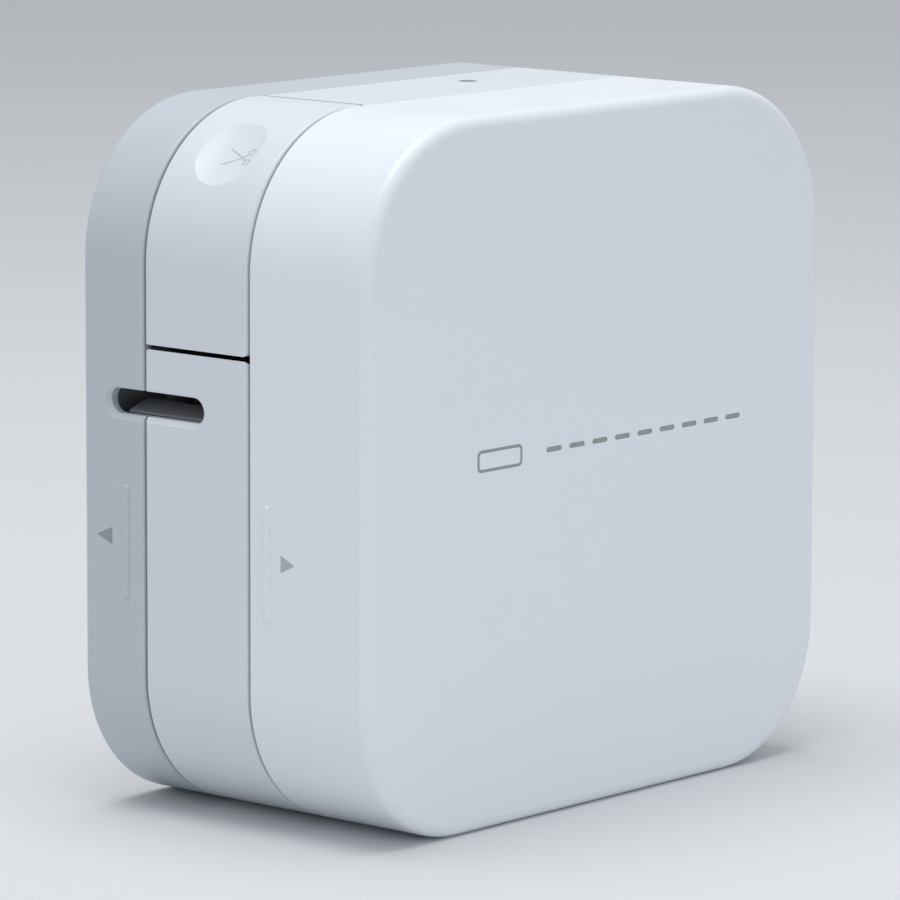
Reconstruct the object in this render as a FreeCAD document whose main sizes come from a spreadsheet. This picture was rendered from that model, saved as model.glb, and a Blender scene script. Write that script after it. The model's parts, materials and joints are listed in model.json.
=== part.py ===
import FreeCAD, Part
import math
import os
from types import SimpleNamespace

import Sketcher
from FreeCAD import Placement, Rotation, Vector

# A palm-sized label maker.  X is its width, with the tape slot on the -X side, Y its depth,
# with the large front face at -Y, and Z is up from the surface that it stands on.  Millimetres.

doc = FreeCAD.newDocument("LabelMaker")
sheet = doc.addObject("Spreadsheet::Sheet", "Sizes")

SIZES = {
    # the whole case: a rounded square seen from the front, in three slices along Y
    "width": 115.0,
    "height": 115.0,
    "depth": 61.0,
    "front_depth": 25.0,
    "rear_depth": 13.5,
    "top_radius": 25.0,
    "bottom_radius": 23.0,
    "front_edge_radius": 2.0,
    "rear_edge_radius": 1.0,
    "wall": 2.0,
    "face_wall": 2.2,
    "seam_gap": 0.5,
    "seam_rounding": 0.5,
    # the inner frame that lines the middle slice and locates both covers
    "liner": 1.5,
    "lip_reach": 3.0,
    "lip_clearance": 0.3,
    "chassis_setback": 14.0,
    "chassis_thickness": 2.0,
    # grip ribs on both narrow sides
    "rib_length": 18.6,
    "rib_width": 1.2,
    "rib_height": 0.4,
    "rib_bevel": 0.3,
    "rib_inset": 4.1,
    "rib_centre": 44.8,
    # tape and the slot that it leaves by
    "tape_width": 12.0,
    "tape_thickness": 0.15,
    "tape_level": 67.5,
    "slot_height": 4.2,
    "slot_side": 4.4,
    "slot_flare": 0.55,
    "slot_flare_depth": 0.8,
    "slot_flare_shift": 0.35,
    # cutter button: the top corner of the middle slice
    "button_length": 27.0,
    "button_rise": 9.7,
    "button_gap": 0.78,
    "button_corner": 0.8,
    "button_tip": 9.4,
    "dish_length": 13.6,
    "dish_width": 7.4,
    "dish_height": 3.0,
    "dish_depth": 1.3,
    "dish_angle": 47.5,
    "hinge_in": 30.0,
    "hinge_drop": 6.2,
    "hinge_pin": 1.25,
    "web": 2.6,
    "running": 0.05,
    # cutter
    "blade_in": 10.0,
    "blade_thickness": 0.8,
    "blade_play": 0.1,
    "blade_pivot": 12.4,
    "blade_open": 13.5,
    "lever_thickness": 2.5,
    "guide_drop": 8.5,
    "guide_thickness": 0.8,
    # cassette
    "cassette_width": 66.0,
    "cassette_height": 54.0,
    "cassette_side": 2.65,
    "cassette_left": -27.0,
    "cassette_bottom": 15.0,
    "cassette_wall": 1.2,
    "cassette_gap": 0.75,
    "notch_width": 14.0,
    "label_roll": 19.0,
    "ribbon_supply": 7.0,
    "ribbon_takeup": 8.5,
    "core_radius": 4.0,
    # print head and platen
    "head_width": 12.0,
    "head_margin": 1.0,
    "platen_radius": 3.5,
    "platen_play": 0.15,
    "head_x": -12.0,
    # gears: a module of 0.6 and a pressure angle of 25 degrees
    "gear_module": 0.6,
    "gear_thickness": 2.6,
    "gear_layer_gap": 0.5,
    "gear_backlash": 0.16,
    "gear_plate": 1.0,
    "shaft": 1.25,
    "motor_radius": 10.0,
    "motor_length": 20.0,
    # batteries: six cells of 10.5 by 44.5
    "cell_radius": 5.25,
    "cell_length": 44.5,
    "cell_space": 0.5,
    "cell_gap": 0.3,
    "tray_wall": 1.5,
    "tray_gap": 1.7,
    "tray_bottom": 35.5,
    # power button
    "power_x": 10.5,
    "power_setback": 2.5,
    "power_radius": 1.45,
    "power_clearance": 0.15,
    "power_recess": 0.5,
    # supply socket
    "jack_radius": 3.8,
    "jack_bore": 2.75,
    "jack_height": 26.0,
    "jack_setback": 5.5,
}

for row, (alias, value) in enumerate(SIZES.items(), start=1):
    sheet.set(f"A{row}", alias)
    sheet.set(f"B{row}", str(value))
    sheet.setAlias(f"B{row}", alias)
doc.recompute()


class Size:
    """A length worked out from the sheet, as a number and as the expression that binds it."""

    def __init__(self, number, text):
        self.number = float(number)
        self.text = text

    def __add__(self, other):
        other = as_size(other)
        return Size(self.number + other.number, f"({self.text} + {other.text})")

    def __sub__(self, other):
        other = as_size(other)
        return Size(self.number - other.number, f"({self.text} - {other.text})")

    def __mul__(self, other):
        other = as_size(other)
        return Size(self.number * other.number, f"({self.text} * {other.text})")

    def __truediv__(self, other):
        other = as_size(other)
        return Size(self.number / other.number, f"({self.text} / {other.text})")

    def __neg__(self):
        return Size(-self.number, f"(0 - {self.text})")

    __radd__ = __add__
    __rmul__ = __mul__

    def __rsub__(self, other):
        return as_size(other) - self

    def __float__(self):
        return self.number


def as_size(value):
    return value if isinstance(value, Size) else Size(value, f"({float(value):.9f})")


s = SimpleNamespace(**{alias: Size(sheet.get(alias), "Sizes." + alias) for alias in SIZES})


# ---- places that several sub-parts share ----

left = -s.width / 2
right = s.width / 2
top = s.height
front = -s.depth / 2
back = s.depth / 2
front_seam = front + s.front_depth
rear_seam = back - s.rear_depth
half_gap = s.seam_gap / 2
middle = (front_seam + half_gap, rear_seam - half_gap)
inside_left = left + s.wall
lip_inset = s.wall + s.lip_clearance
liner_inset = s.wall + s.liner

chassis_front = rear_seam - s.chassis_setback
chassis_back = chassis_front + s.chassis_thickness
jack_y = chassis_back + s.jack_setback
power_y = chassis_back + s.power_setback
cassette_front = chassis_back + s.cassette_gap
cassette_back = cassette_front + s.tape_width + 2 * s.cassette_side
cassette_middle = (cassette_front + cassette_back) / 2
cassette_right = s.cassette_left + s.cassette_width
cassette_top = s.cassette_bottom + s.cassette_height
tape_front = cassette_middle - s.tape_width / 2
tape_back = cassette_middle + s.tape_width / 2
tape_top = s.tape_level + s.tape_thickness / 2
tape_bottom = s.tape_level - s.tape_thickness / 2

slot_front = tape_front - s.slot_side
slot_back = tape_back + s.slot_side
slot_low = s.tape_level - s.slot_height / 2
slot_high = s.tape_level + s.slot_height / 2

button_right = left + s.button_length
button_bottom = s.tape_level + s.button_rise
window_right = button_right + s.button_gap
window_bottom = button_bottom - s.button_gap
hinge_x = left + s.hinge_in
hinge_z = top - s.hinge_drop
front_web = (chassis_front - 0.5 - s.web, chassis_front - 0.5)
rear_web = (chassis_back + 6.2, chassis_back + 6.2 + s.web)
hinge_ear = (chassis_back + 3.6, chassis_back + 5.6)

moving_blade = (left + s.blade_in, left + s.blade_in + s.blade_thickness)
fixed_blade = (moving_blade[1] + s.blade_play, moving_blade[1] + s.blade_play + s.blade_thickness)
frame_plate = (fixed_blade[1], fixed_blade[1] + 1.5)
lever = (moving_blade[0] - s.lever_thickness, moving_blade[0])
pivot_y = cassette_middle - s.blade_pivot
pivot_z = s.tape_level - 1.0
tape_end = moving_blade[1] + 0.15

head_top = tape_bottom - s.platen_play
platen_z = tape_top + s.platen_play + s.platen_radius
head_span = (tape_front - s.head_margin, tape_back + s.head_margin)
notch = (s.head_x - s.notch_width / 2, s.head_x + s.notch_width / 2)

gear_near = (chassis_front - 1.0 - s.gear_thickness, chassis_front - 1.0)
gear_far = (gear_near[0] - s.gear_layer_gap - s.gear_thickness, gear_near[0] - s.gear_layer_gap)
plate_back = gear_far[0] - 0.6
plate_front = plate_back - s.gear_plate


# ---- building blocks ----

def bind(thing, prop, size):
    thing.setExpression(prop, as_size(size).text)


def box(label, x, y, z):
    """A block between two limits along each axis."""
    solid = doc.addObject("Part::Box", label)
    for prop, axis, (low, high) in (("Length", "x", x), ("Width", "y", y), ("Height", "z", z)):
        bind(solid, prop, as_size(high) - low)
        bind(solid, "Placement.Base." + axis, low)
    return solid


TURNS = {
    "X": Rotation(Vector(0, 1, 0), 90),
    "Y": Rotation(Vector(1, 0, 0), -90),
    "Z": Rotation(),
}


def place_along(solid, axis, centre, start):
    """Stand a turned primitive on its axis: centre holds the other two coordinates in order."""
    solid.Placement = Placement(Vector(), TURNS[axis])
    others = [name for name in "xyz" if name != axis.lower()]
    bind(solid, "Placement.Base." + axis.lower(), start)
    for name, value in zip(others, centre):
        bind(solid, "Placement.Base." + name, value)


def rod(label, axis, centre, span, radius):
    """A cylinder along an axis, between two limits."""
    solid = doc.addObject("Part::Cylinder", label)
    bind(solid, "Radius", radius)
    bind(solid, "Height", as_size(span[1]) - span[0])
    place_along(solid, axis, centre, span[0])
    return solid


def cone(label, axis, centre, span, radii):
    """A cone along an axis, between two limits and two radii."""
    solid = doc.addObject("Part::Cone", label)
    bind(solid, "Radius1", radii[0])
    bind(solid, "Radius2", radii[1])
    bind(solid, "Height", as_size(span[1]) - span[0])
    place_along(solid, axis, centre, span[0])
    return solid


def join(label, *pieces):
    result = doc.addObject("Part::MultiFuse", label)
    result.Shapes = list(pieces)
    result.Refine = True
    return result


def cut(label, base, *tools):
    result = doc.addObject("Part::Cut", label)
    result.Base = base
    result.Tool = tools[0] if len(tools) == 1 else join(label + "_tools", *tools)
    result.Refine = True
    return result


def common(label, first, second):
    result = doc.addObject("Part::Common", label)
    result.Base = first
    result.Tool = second
    return result


def new_sketch(body, label, plane_role, offset):
    sketch = body.newObject("Sketcher::SketchObject", label)
    plane = next(item for item in body.Origin.OriginFeatures if item.Role == plane_role)
    sketch.AttachmentSupport = [(plane, "")]
    sketch.MapMode = "FlatFace"
    bind(sketch, "AttachmentOffset.Base.z", offset)
    return sketch


def constrain(sketch, kind, *arguments, size):
    """Add a dimension and bind it to the sheet."""
    index = sketch.addConstraint(Sketcher.Constraint(kind, *arguments, float(size)))
    bind(sketch, f"Constraints[{index}]", size)


def locate(sketch, geometry, along, across):
    """Fix the start of an edge at its two coordinates."""
    for kind, value in (("DistanceX", along), ("DistanceY", across)):
        value = as_size(value)
        if value.number < 0:
            constrain(sketch, kind, geometry, 1, -1, 1, size=-value)
        else:
            constrain(sketch, kind, -1, 1, geometry, 1, size=value)


def rounded_sketch(body, label, inset, start):
    """The case's outline seen from the front, drawn in by inset: four sides and four corners."""
    sketch = new_sketch(body, label, "XZ_Plane", -as_size(start))
    half = float(s.width / 2 - inset)
    low = float(inset)
    high = float(top - inset)
    upper = float(s.top_radius - inset)
    lower = float(s.bottom_radius - inset)
    corners = (
        (half, low, lower, -90),
        (half, high, upper, 0),
        (-half, high, upper, 90),
        (-half, low, lower, 180),
    )
    ends = []
    arcs = []
    for x, z, radius, start_angle in corners:
        centre = Vector(x - math.copysign(radius, x), z + (radius if z == low else -radius), 0)
        first = math.radians(start_angle)
        last = first + math.pi / 2
        arcs.append(Part.ArcOfCircle(Part.Circle(centre, Vector(0, 0, 1), radius), first, last))
        ends.append([centre + Vector(math.cos(a), math.sin(a), 0) * radius for a in (first, last)])
    for index in range(4):
        sketch.addGeometry(Part.LineSegment(ends[index - 1][1], ends[index][0]))
    for arc in arcs:
        sketch.addGeometry(arc)
    for index in range(4):
        sketch.addConstraint(Sketcher.Constraint("Tangent", index, 2, 4 + index, 1))
        sketch.addConstraint(Sketcher.Constraint("Tangent", 4 + index, 2, (index + 1) % 4, 1))
        side = "Horizontal" if index % 2 == 0 else "Vertical"
        sketch.addConstraint(Sketcher.Constraint(side, index))
        radius = s.bottom_radius if index in (0, 3) else s.top_radius
        constrain(sketch, "Radius", 4 + index, size=radius - inset)
    constrain(sketch, "DistanceX", -1, 1, 1, 1, size=s.width / 2 - inset)
    constrain(sketch, "DistanceX", 3, 1, -1, 1, size=s.width / 2 - inset)
    constrain(sketch, "DistanceY", -1, 1, 2, 1, size=top - inset)
    constrain(sketch, "DistanceY", 0, 1, 2, 1, size=top - 2 * as_size(inset))
    return sketch


def pad(body, label, sketch, length, backwards):
    feature = body.newObject("PartDesign::Pad", label)
    feature.Profile = sketch
    feature.Reversed = backwards
    bind(feature, "Length", length)
    body.Tip = feature
    return feature


def round_face(body, label, base, y, radius):
    """Round every edge of the face that lies across Y at y."""
    doc.recompute()
    for number, face in enumerate(base.Shape.Faces, start=1):
        flat = face.Surface.TypeId == "Part::GeomPlane"
        if flat and abs(face.CenterOfMass.y - float(y)) < 0.001:
            name = f"Face{number}"
    feature = body.newObject("PartDesign::Fillet", label)
    feature.Base = (base, [name])
    bind(feature, "Radius", radius)
    body.Tip = feature
    return feature


def outline_block(label, inset, span, start_rounding=None, end_rounding=None):
    """A slab of the case's outline between two depths, with either end's edge rounded."""
    body = doc.addObject("PartDesign::Body", label)
    sketch = rounded_sketch(body, label + "_sketch", inset, span[0])
    tip = pad(body, label + "_pad", sketch, as_size(span[1]) - span[0], True)
    if start_rounding is not None:
        tip = round_face(body, label + "_start", tip, span[0], start_rounding)
    if end_rounding is not None:
        round_face(body, label + "_end", tip, span[1], end_rounding)
    return body


def prism(label, plane_role, points, span):
    """A straight-sided profile, given as pairs of coordinates, between two limits."""
    body = doc.addObject("PartDesign::Body", label)
    offset = -as_size(span[0]) if plane_role == "XZ_Plane" else as_size(span[0])
    sketch = new_sketch(body, label + "_sketch", plane_role, offset)
    corners = [Vector(float(along), float(across), 0) for along, across in points]
    count = len(corners)
    for index in range(count):
        sketch.addGeometry(Part.LineSegment(corners[index], corners[(index + 1) % count]))
    for index in range(count):
        following = (index + 1) % count
        sketch.addConstraint(Sketcher.Constraint("Coincident", index, 2, following, 1))
        locate(sketch, index, *points[index])
    pad(body, label + "_pad", sketch, as_size(span[1]) - span[0], plane_role == "XZ_Plane")
    return body


nodes = {}


def keep(name, solid):
    """Register a finished sub-part under the name of its file."""
    solid.Label = name
    nodes[name] = solid
    return solid


# ---- case ----

def ribs(label, y):
    """A raised grip bar on each narrow side, with round ends and a bevel all round its top."""
    bars = []
    half = s.rib_length / 2 - s.rib_width / 2
    wide = s.rib_width / 2
    narrow = wide - s.rib_bevel
    for side, face, sign in (("left", left, -1), ("right", right, 1)):
        root = face - sign * 0.5
        shoulder = face + sign * (s.rib_height - s.rib_bevel)
        crest = face + sign * s.rib_height
        name = f"{label}_{side}"
        profile = ((root, y - wide), (shoulder, y - wide), (crest, y - narrow),
                   (crest, y + narrow), (shoulder, y + wide), (root, y + wide))
        bars.append(prism(name + "_bar", "XY_Plane", profile, (s.rib_centre - half, s.rib_centre + half)))
        for end, z in (("low", s.rib_centre - half), ("high", s.rib_centre + half)):
            if side == "left":
                stem, tip, radii = (shoulder, root), (crest, shoulder), (narrow, wide)
            else:
                stem, tip, radii = (root, shoulder), (shoulder, crest), (wide, narrow)
            bars.append(rod(f"{name}_{end}_stem", "X", (y, z), stem, wide))
            bars.append(cone(f"{name}_{end}_tip", "X", (y, z), tip, radii))
    return bars


def front_cover():
    span = (front, front_seam - half_gap)
    shell = cut(
        "front_cover_shell",
        outline_block("front_cover_block", 0, span, s.front_edge_radius, s.seam_rounding),
        outline_block("front_cover_hollow", s.wall, (front + s.face_wall, front_seam + 1)),
    )
    keep("front_cover", join("front_cover_ribbed", shell, *ribs("front_rib", front_seam - s.rib_inset)))


def exit_slot(label, depth):
    """The slot for the tape, round at both ends, with a flared mouth that is wider below and behind."""
    half = s.slot_height / 2
    through = (left - 1, depth)
    ends = (slot_front + half, slot_back - half)
    # the flare's narrow end stays inside the slot, so its bevel dies out into the slot's wall
    throat = half - s.slot_flare_shift * math.sqrt(2)
    slope = (s.slot_flare + half - throat) / s.slot_flare_depth
    mouth = half + s.slot_flare + slope
    flare = (left - 1, left + s.slot_flare_depth)
    flare_ends = (ends[0] + s.slot_flare_shift, ends[1] + s.slot_flare_shift)
    flare_level = s.tape_level - s.slot_flare_shift
    flare_points = (
        (flare[0], flare_level - mouth),
        (flare[1], flare_level - throat),
        (flare[1], flare_level + throat),
        (flare[0], flare_level + mouth),
    )
    tools = [
        box(label + "_run", through, ends, (slot_low, slot_high)),
        prism(label + "_flare", "XZ_Plane", flare_points, flare_ends),
    ]
    for name, y, flare_y in zip(("front", "rear"), ends, flare_ends):
        tools.append(rod(f"{label}_{name}", "X", (y, s.tape_level), through, half))
        tools.append(cone(f"{label}_{name}_flare", "X", (flare_y, flare_level), flare, (mouth, throat)))
    return tools


def rear_cover():
    span = (rear_seam + half_gap, back)
    shell = cut(
        "rear_cover_shell",
        outline_block("rear_cover_block", 0, span, s.seam_rounding, s.rear_edge_radius),
        outline_block("rear_cover_hollow", s.wall, (rear_seam - 1, back - s.face_wall)),
    )
    ribbed = join("rear_cover_ribbed", shell, *ribs("rear_rib", rear_seam + s.rib_inset))
    keep("rear_cover", cut("rear_cover_slotted", ribbed, *exit_slot("rear_slot", inside_left + 1)))


def rounded_window(label):
    """The button's corner region, exactly as deep as the middle slice, with its lower corners rounded."""
    block = box(label, (left - 1, button_right), middle, (button_bottom, top + 1))
    doc.recompute()
    radius = float(s.button_corner)
    lowest = block.Shape.BoundBox.ZMin
    edges = [
        (number, radius, radius)
        for number, edge in enumerate(block.Shape.Edges, start=1)
        if abs(edge.BoundBox.ZMax - lowest) < 0.001 and edge.BoundBox.XLength > radius
    ]
    rounded = doc.addObject("Part::Fillet", label + "_rounded")
    rounded.Base = block
    rounded.Edges = edges
    return rounded


def corner_cutters():
    """What rounds the two corners of the middle slice below the button."""
    cutters = []
    for name, y, sign in (("front", middle[0], 1), ("rear", middle[1], -1)):
        centre_y = y + sign * s.button_corner
        limits = (y - 1, centre_y) if sign > 0 else (centre_y, y + 1)
        corner = box(f"corner_{name}_block", (left - 1, inside_left + 1), limits,
                     (window_bottom - s.button_corner, window_bottom + 1))
        keeper = rod(f"corner_{name}_keeper", "X", (centre_y, window_bottom - s.button_corner),
                     (left - 2, inside_left + 2), s.button_corner)
        cutters.append(cut(f"corner_{name}_cutter", corner, keeper))
    return cutters


def power_hole(label, radius, depth):
    return rod(label, "Z", (s.power_x, power_y), (top - depth, top + 1), radius)


def jack_hole(label, radius):
    return rod(label, "X", (jack_y, s.jack_height), (right - 6, right + 1), radius)


def centre_body():
    """The middle slice: a plain band with the button's corner, the slot and two holes cut out."""
    band = cut(
        "centre_band",
        outline_block("centre_block", 0, middle, s.seam_rounding, s.seam_rounding),
        outline_block("centre_hollow", s.wall, (front_seam - 1, rear_seam + 1)),
    )
    # the wall's upper edge falls inward, out of the way of the button's lower edge
    relief_points = (
        (left + 0.3, window_bottom),
        (inside_left + 1, window_bottom - 2.2),
        (inside_left + 1, window_bottom + 1),
        (left + 0.3, window_bottom + 1),
    )
    wide = (front_seam - 2, rear_seam + 2)
    keep("centre_body", cut(
        "centre_cut",
        band,
        box("centre_window", (left - 1, window_right), wide, (window_bottom, top + 1)),
        prism("centre_relief", "XZ_Plane", relief_points, wide),
        *corner_cutters(),
        *exit_slot("centre_slot", inside_left + 1),
        power_hole("centre_power", s.power_radius + s.power_clearance, 6),
        jack_hole("centre_jack", s.jack_radius + s.power_clearance),
    ))


def inner_frame():
    """The liner behind the middle slice, its two lips and the plate that carries the works."""
    inner = (front_seam + half_gap, rear_seam - half_gap)
    lips = (front_seam - s.lip_reach, rear_seam + s.lip_reach)
    ring = cut(
        "frame_ring",
        join("frame_outer",
             outline_block("frame_liner", s.wall, inner),
             outline_block("frame_lips", lip_inset, lips)),
        outline_block("frame_hollow", liner_inset, (lips[0] - 1, lips[1] + 1)),
    )
    plate = outline_block("frame_plate", liner_inset - 0.5, (chassis_front, chassis_back))
    ear = box("frame_ear", (window_right, hinge_x + 3), hinge_ear, (hinge_z - 3, top - s.wall - 0.5))
    shelf = box("frame_shelf", (hinge_x - 11.5, window_right + 2),
                (chassis_back - 0.5, chassis_back + 5.6), (hinge_z - 19.5, hinge_z - 17.5))
    shelf_arm = box("frame_shelf_arm", (window_right, window_right + 2),
                    (chassis_front, chassis_back + 5.6), (hinge_z - 25, hinge_z - 17.5))
    wide = (front_seam - 5, rear_seam + 5)
    whole = cut(
        "frame_cut",
        join("frame_whole", ring, plate),
        box("frame_window", (left - 1, window_right), wide, (window_bottom - 3.2, top + 1)),
        box("frame_cutter_bay", (left + liner_inset, frame_plate[1] + 2.3),
            (chassis_front - 1, chassis_back + 1), (pivot_z - 11.5, top)),
        *exit_slot("frame_slot", lever[0]),
        power_hole("frame_power", s.power_radius + 0.6, 6),
        jack_hole("frame_jack", s.jack_radius + s.power_clearance),
    )
    drilled = [
        rod("hole_hinge", "Y", (hinge_x, hinge_z), (chassis_front - 1, hinge_ear[1] + 1), s.hinge_pin),
        rod("hole_platen", "Y", (s.head_x, platen_z), (chassis_front - 1, chassis_back + 1),
            s.shaft + s.running),
        rod("hole_takeup", "Y", (takeup_x, takeup_z), (chassis_front - 1, chassis_back + 1),
            s.shaft + s.running),
    ]
    for name, (x, z) in (("reduction", reduction), ("idler", platen_idler), ("feed", takeup_idler)):
        drilled.append(rod("hole_" + name, "Y", (x, z), (chassis_front - 1, chassis_back + 1), s.shaft))
    keep("inner_frame", cut("frame_drilled", join("frame_eared", whole, ear, shelf, shelf_arm),
                            *drilled))


# ---- cutter button ----

def cutter_button():
    skin = cut(
        "button_band",
        outline_block("button_block", 0, middle, s.seam_rounding, s.seam_rounding),
        outline_block("button_hollow", s.wall, (front_seam - 1, rear_seam + 1)),
    )
    skin = common("button_skin", skin, rounded_window("button_window"))
    # the dish for the finger lies a little above the corner's diagonal
    corner = (left + s.top_radius, top - s.top_radius)
    reach = s.top_radius + s.dish_height - s.dish_depth
    turn = math.radians(s.dish_angle)
    dish = doc.addObject("Part::Ellipsoid", "button_dish")
    bind(dish, "Radius1", s.dish_height)
    bind(dish, "Radius2", s.dish_length)
    bind(dish, "Radius3", s.dish_width)
    dish.Placement = Placement(Vector(), Rotation(Vector(0, 1, 0), float(s.dish_angle) - 90))
    bind(dish, "Placement.Base.x", corner[0] - reach * math.cos(turn))
    bind(dish, "Placement.Base.y", (middle[0] + middle[1]) / 2)
    bind(dish, "Placement.Base.z", corner[1] + reach * math.sin(turn))
    pieces = [cut("button_dished", skin, dish)]
    for name, span in (("front", front_web), ("rear", rear_web)):
        plate = outline_block(f"web_{name}_block", s.wall + 1.4, span)
        zone = box(f"web_{name}_zone", (left, button_right - 1.2), (front, back),
                   (hinge_z - 13.5, top))
        pieces.append(common(f"web_{name}", plate, zone))
        rib = cut(f"rib_{name}_ring", outline_block(f"rib_{name}_outer", s.wall - 0.3, span),
                  outline_block(f"rib_{name}_inner", s.wall + 3.5, (span[0] - 1, span[1] + 1)))
        rib_zone = box(f"rib_{name}_zone", (left, button_right - 0.8), (front, back),
                       (hinge_z - 13.5, top))
        pieces.append(common(f"rib_{name}", rib, rib_zone))
        pieces.append(box(f"arm_{name}", (button_right - 2, hinge_x), span,
                          (hinge_z - 2.3, hinge_z + 2.3)))
        pieces.append(rod(f"boss_{name}", "Y", (hinge_x, hinge_z), span, 2.3))
    pieces.append(box("button_bar", (hinge_x - 10.5, hinge_x - 4.5), (front_web[0], rear_web[1]),
                      (hinge_z - 4.5, hinge_z + 2.3)))
    leg = (left + 8.0, left + 12.0)
    tip = s.tape_level + s.button_tip
    pieces.append(box("button_leg", leg, rear_web, (tip + 2, hinge_z - 10)))
    pieces.append(rod("button_leg_tip", "Y", (left + 10.0, tip + 2), rear_web, 2.0))
    pin_hole = rod("button_pin_hole", "Y", (hinge_x, hinge_z), (front_web[0] - 1, rear_web[1] + 1),
                   s.hinge_pin + s.running)
    keep("cutter_button", cut("button_drilled", join("button_whole", *pieces), pin_hole))


def button_pin():
    span = (front_web[0] - 0.4, rear_web[1] + 0.4)
    keep("button_hinge_pin", rod("button_pin", "Y", (hinge_x, hinge_z), span, s.hinge_pin))


def coil(label, x, y, low, high, radius, wire, turns):
    """A compression spring: a round wire swept along a helix inside its two end levels."""
    pitch = (float(high) - float(low) - 2 * wire) / turns
    path = Part.makeHelix(pitch, pitch * turns, radius)
    ring = Part.Wire(Part.makeCircle(wire, Vector(radius, 0, 0), Vector(0, 1, 0)))
    solid = Part.Wire(path).makePipeShell([ring], True, True)
    spring = doc.addObject("Part::Feature", label)
    spring.Shape = solid
    spring.Placement = Placement(Vector(float(x), float(y), float(low) + wire), Rotation())
    return spring


def button_spring():
    keep("button_spring", coil("button_coil", hinge_x - 7.5, chassis_back + 2.6, hinge_z - 17.5,
                               hinge_z - 4.5, 2.0, 0.3, 6))


# ---- cutter ----

def raise_blade(solid):
    """Turn a piece drawn with the blade shut to where the blade rests, open."""
    centre = Vector(0, float(pivot_y), float(pivot_z))
    turn = Rotation(Vector(1, 0, 0), float(s.blade_open))
    solid.Placement = Placement(Vector(), turn, centre)
    return solid


def moving_blade_plate():
    edge = s.tape_level - 0.6
    points = (
        (pivot_y - 2, pivot_z - 1.8),
        (pivot_y + 2, pivot_z - 1.8),
        (pivot_y + 4, edge),
        (tape_back + 2, edge),
        (tape_back + 2, edge + 4.2),
        (pivot_y - 2, pivot_z + 4),
    )
    plate = prism("blade_plate", "YZ_Plane", points, moving_blade)
    hole = rod("blade_hole", "X", (pivot_y, pivot_z), (moving_blade[0] - 1, moving_blade[1] + 1),
               s.hinge_pin + s.running)
    keep("moving_blade", raise_blade(cut("blade_drilled", plate, hole)))


def blade_lever():
    points = (
        (pivot_y - 3, pivot_z - 3),
        (pivot_y + 3, pivot_z - 3),
        (tape_back - 3, pivot_z + 3.5),
        (tape_back - 3, pivot_z + 7),
        (pivot_y + 7, pivot_z + 7),
        (pivot_y - 3, pivot_z + 3),
    )
    plate = prism("lever_plate", "YZ_Plane", points, lever)
    flange = box("lever_flange", (lever[0], lever[0] + 9.5), (pivot_y + 9, pivot_y + 15),
                 (pivot_z + 5.6, pivot_z + 7))
    hole = rod("lever_hole", "X", (pivot_y, pivot_z), (lever[0] - 1, lever[1] + 1),
               s.hinge_pin + s.running)
    keep("blade_lever", raise_blade(cut("lever_drilled", join("lever_whole", plate, flange), hole)))


def blade_pin():
    span = (lever[0] - 0.6, frame_plate[1] + 0.4)
    keep("blade_pivot_pin", rod("blade_pin", "X", (pivot_y, pivot_z), span, s.hinge_pin))


def cutter_frame():
    upper = box("cutter_upper", frame_plate, (pivot_y - 3, tape_back + 2),
                (pivot_z - 10, s.tape_level - 0.6))
    boss = rod("cutter_boss", "X", (pivot_y, pivot_z), frame_plate, 3.0)
    foot = box("cutter_foot", frame_plate, (chassis_back, tape_back + 2),
               (pivot_z - 18, pivot_z - 10))
    flange = box("cutter_flange", (frame_plate[0], frame_plate[1] + 5), (chassis_back, chassis_back + 1.5),
                 (pivot_z - 20, pivot_z - 12))
    hole = rod("cutter_hole", "X", (pivot_y, pivot_z), (frame_plate[0] - 1, frame_plate[1] + 1),
               s.hinge_pin)
    keep("cutter_frame", cut("cutter_drilled", join("cutter_whole", upper, boss, foot, flange), hole))


def fixed_blade_plate():
    points = (
        (tape_front - 1.5, s.tape_level - 6.5),
        (tape_back + 2, s.tape_level - 6.5),
        (tape_back + 2, s.tape_level - 0.3),
        (tape_front - 1.5, s.tape_level - 0.3),
    )
    keep("fixed_blade", prism("fixed_blade_plate", "YZ_Plane", points, fixed_blade))


def exit_guide():
    """A ramp that leads the tape from the blades down to the slot's lower edge, on a bent foot."""
    span = (tape_front - 2.4, tape_back + 2)
    thick = s.guide_thickness
    low = slot_low + s.running
    high = tape_bottom - 0.2
    outer = inside_left + 0.3
    inner = lever[0] - 1
    drop = low - s.guide_drop
    ramp_points = ((outer, low), (inner, high - thick), (inner, high), (outer, low + thick / 2))
    ramp = prism("guide_ramp", "XZ_Plane", ramp_points, span)
    skirt = box("guide_skirt", (inner - thick, inner), span, (drop, high - thick / 2))
    foot = box("guide_foot", (inner - thick, frame_plate[0]), span, (drop - thick, drop))
    keep("exit_guide", join("guide_whole", ramp, skirt, foot))


# ---- gears ----

GEAR_ANGLE = math.radians(25)


def involute(angle):
    return math.tan(angle) - angle


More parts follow.
